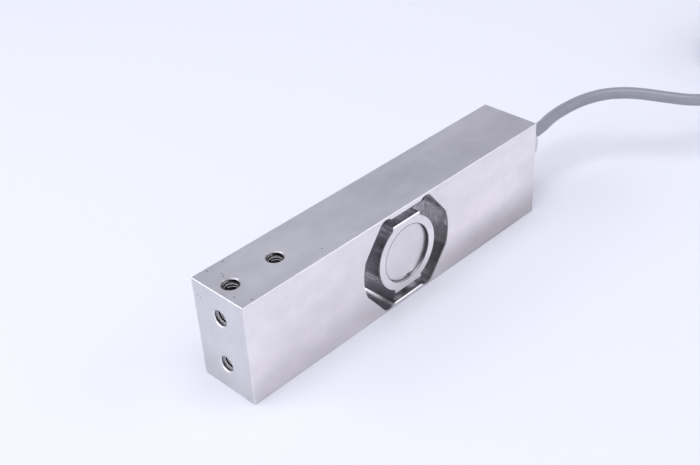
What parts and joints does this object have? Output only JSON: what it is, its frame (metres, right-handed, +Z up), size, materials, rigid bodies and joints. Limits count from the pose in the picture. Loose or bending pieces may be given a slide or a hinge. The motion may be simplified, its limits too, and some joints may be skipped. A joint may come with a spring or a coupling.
{
  "type": "single point load cell",
  "caption": "Stainless block load cell with a milled window, a sealed round gauge hub, tapped holes at both ends and a grey lead from a small gland.",
  "frame": {"origin": "middle of the block's underside", "axes": "+X along the block towards the cable gland (fixed end), +Z up, the visible window side faces -Y"},
  "size_m": [0.392, 0.0605, 0.04],
  "materials": {
    "satin_stainless": "fine milled, satin",
    "cover_stainless": "ground smooth",
    "nickel_brass": "turned and nickel plated",
    "black_rubber": "moulded",
    "grey_pvc": "smooth extruded",
    "white_nylon": "moulded",
    "black_sleeve": "shrunk on",
    "gauge_film": "clear amber film",
    "green_laminate": "lacquered",
    "solder": "tinned",
    "resistor_body": "glazed",
    "core_green": "extruded",
    "core_white": "extruded",
    "core_yellow": "extruded",
    "core_red": "extruded",
    "core_black": "extruded",
    "core_blue": "extruded"
  },
  "bodies": {
    "root": {"cable_coil": "grey_pvc", "cable_in_gland": "grey_pvc", "cable_lead": "grey_pvc", "cable_tail": "grey_pvc", "cable_tie_1": "white_nylon", "cable_tie_2": "white_nylon", "cover_back": "cover_stainless", "cover_front": "cover_stainless", "gland_body": "nickel_brass", "gland_insert": "black_rubber", "gland_nut": "nickel_brass", "gland_slip_ring": "white_nylon", "gland_washer": "black_rubber", "inner_core_black": "core_black", "inner_core_blue": "core_blue", "inner_core_green": "core_green", "inner_core_red": "core_red", "inner_core_white": "core_white", "inner_core_yellow": "core_yellow", "lead_core_black": "core_black", "lead_core_blue": "core_blue", "lead_core_green": "core_green", "lead_core_red": "core_red", "lead_core_tips": "solder", "lead_core_white": "core_white", "lead_core_yellow": "core_yellow", "lead_end_sleeve": "black_sleeve", "lead_shield_drain": "black_sleeve", "measuring_body": "satin_stainless", "solder_pads_back": "solder", "solder_pads_front": "solder", "strain_gauge_back_left": "gauge_film", "strain_gauge_back_right": "gauge_film", "strain_gauge_front_left": "gauge_film", "strain_gauge_front_right": "gauge_film", "terminal_board_back": "green_laminate", "terminal_board_front": "green_laminate", "trim_resistor_back": "resistor_body", "trim_resistor_front": "resistor_body"}
  },
  "joints": []
}
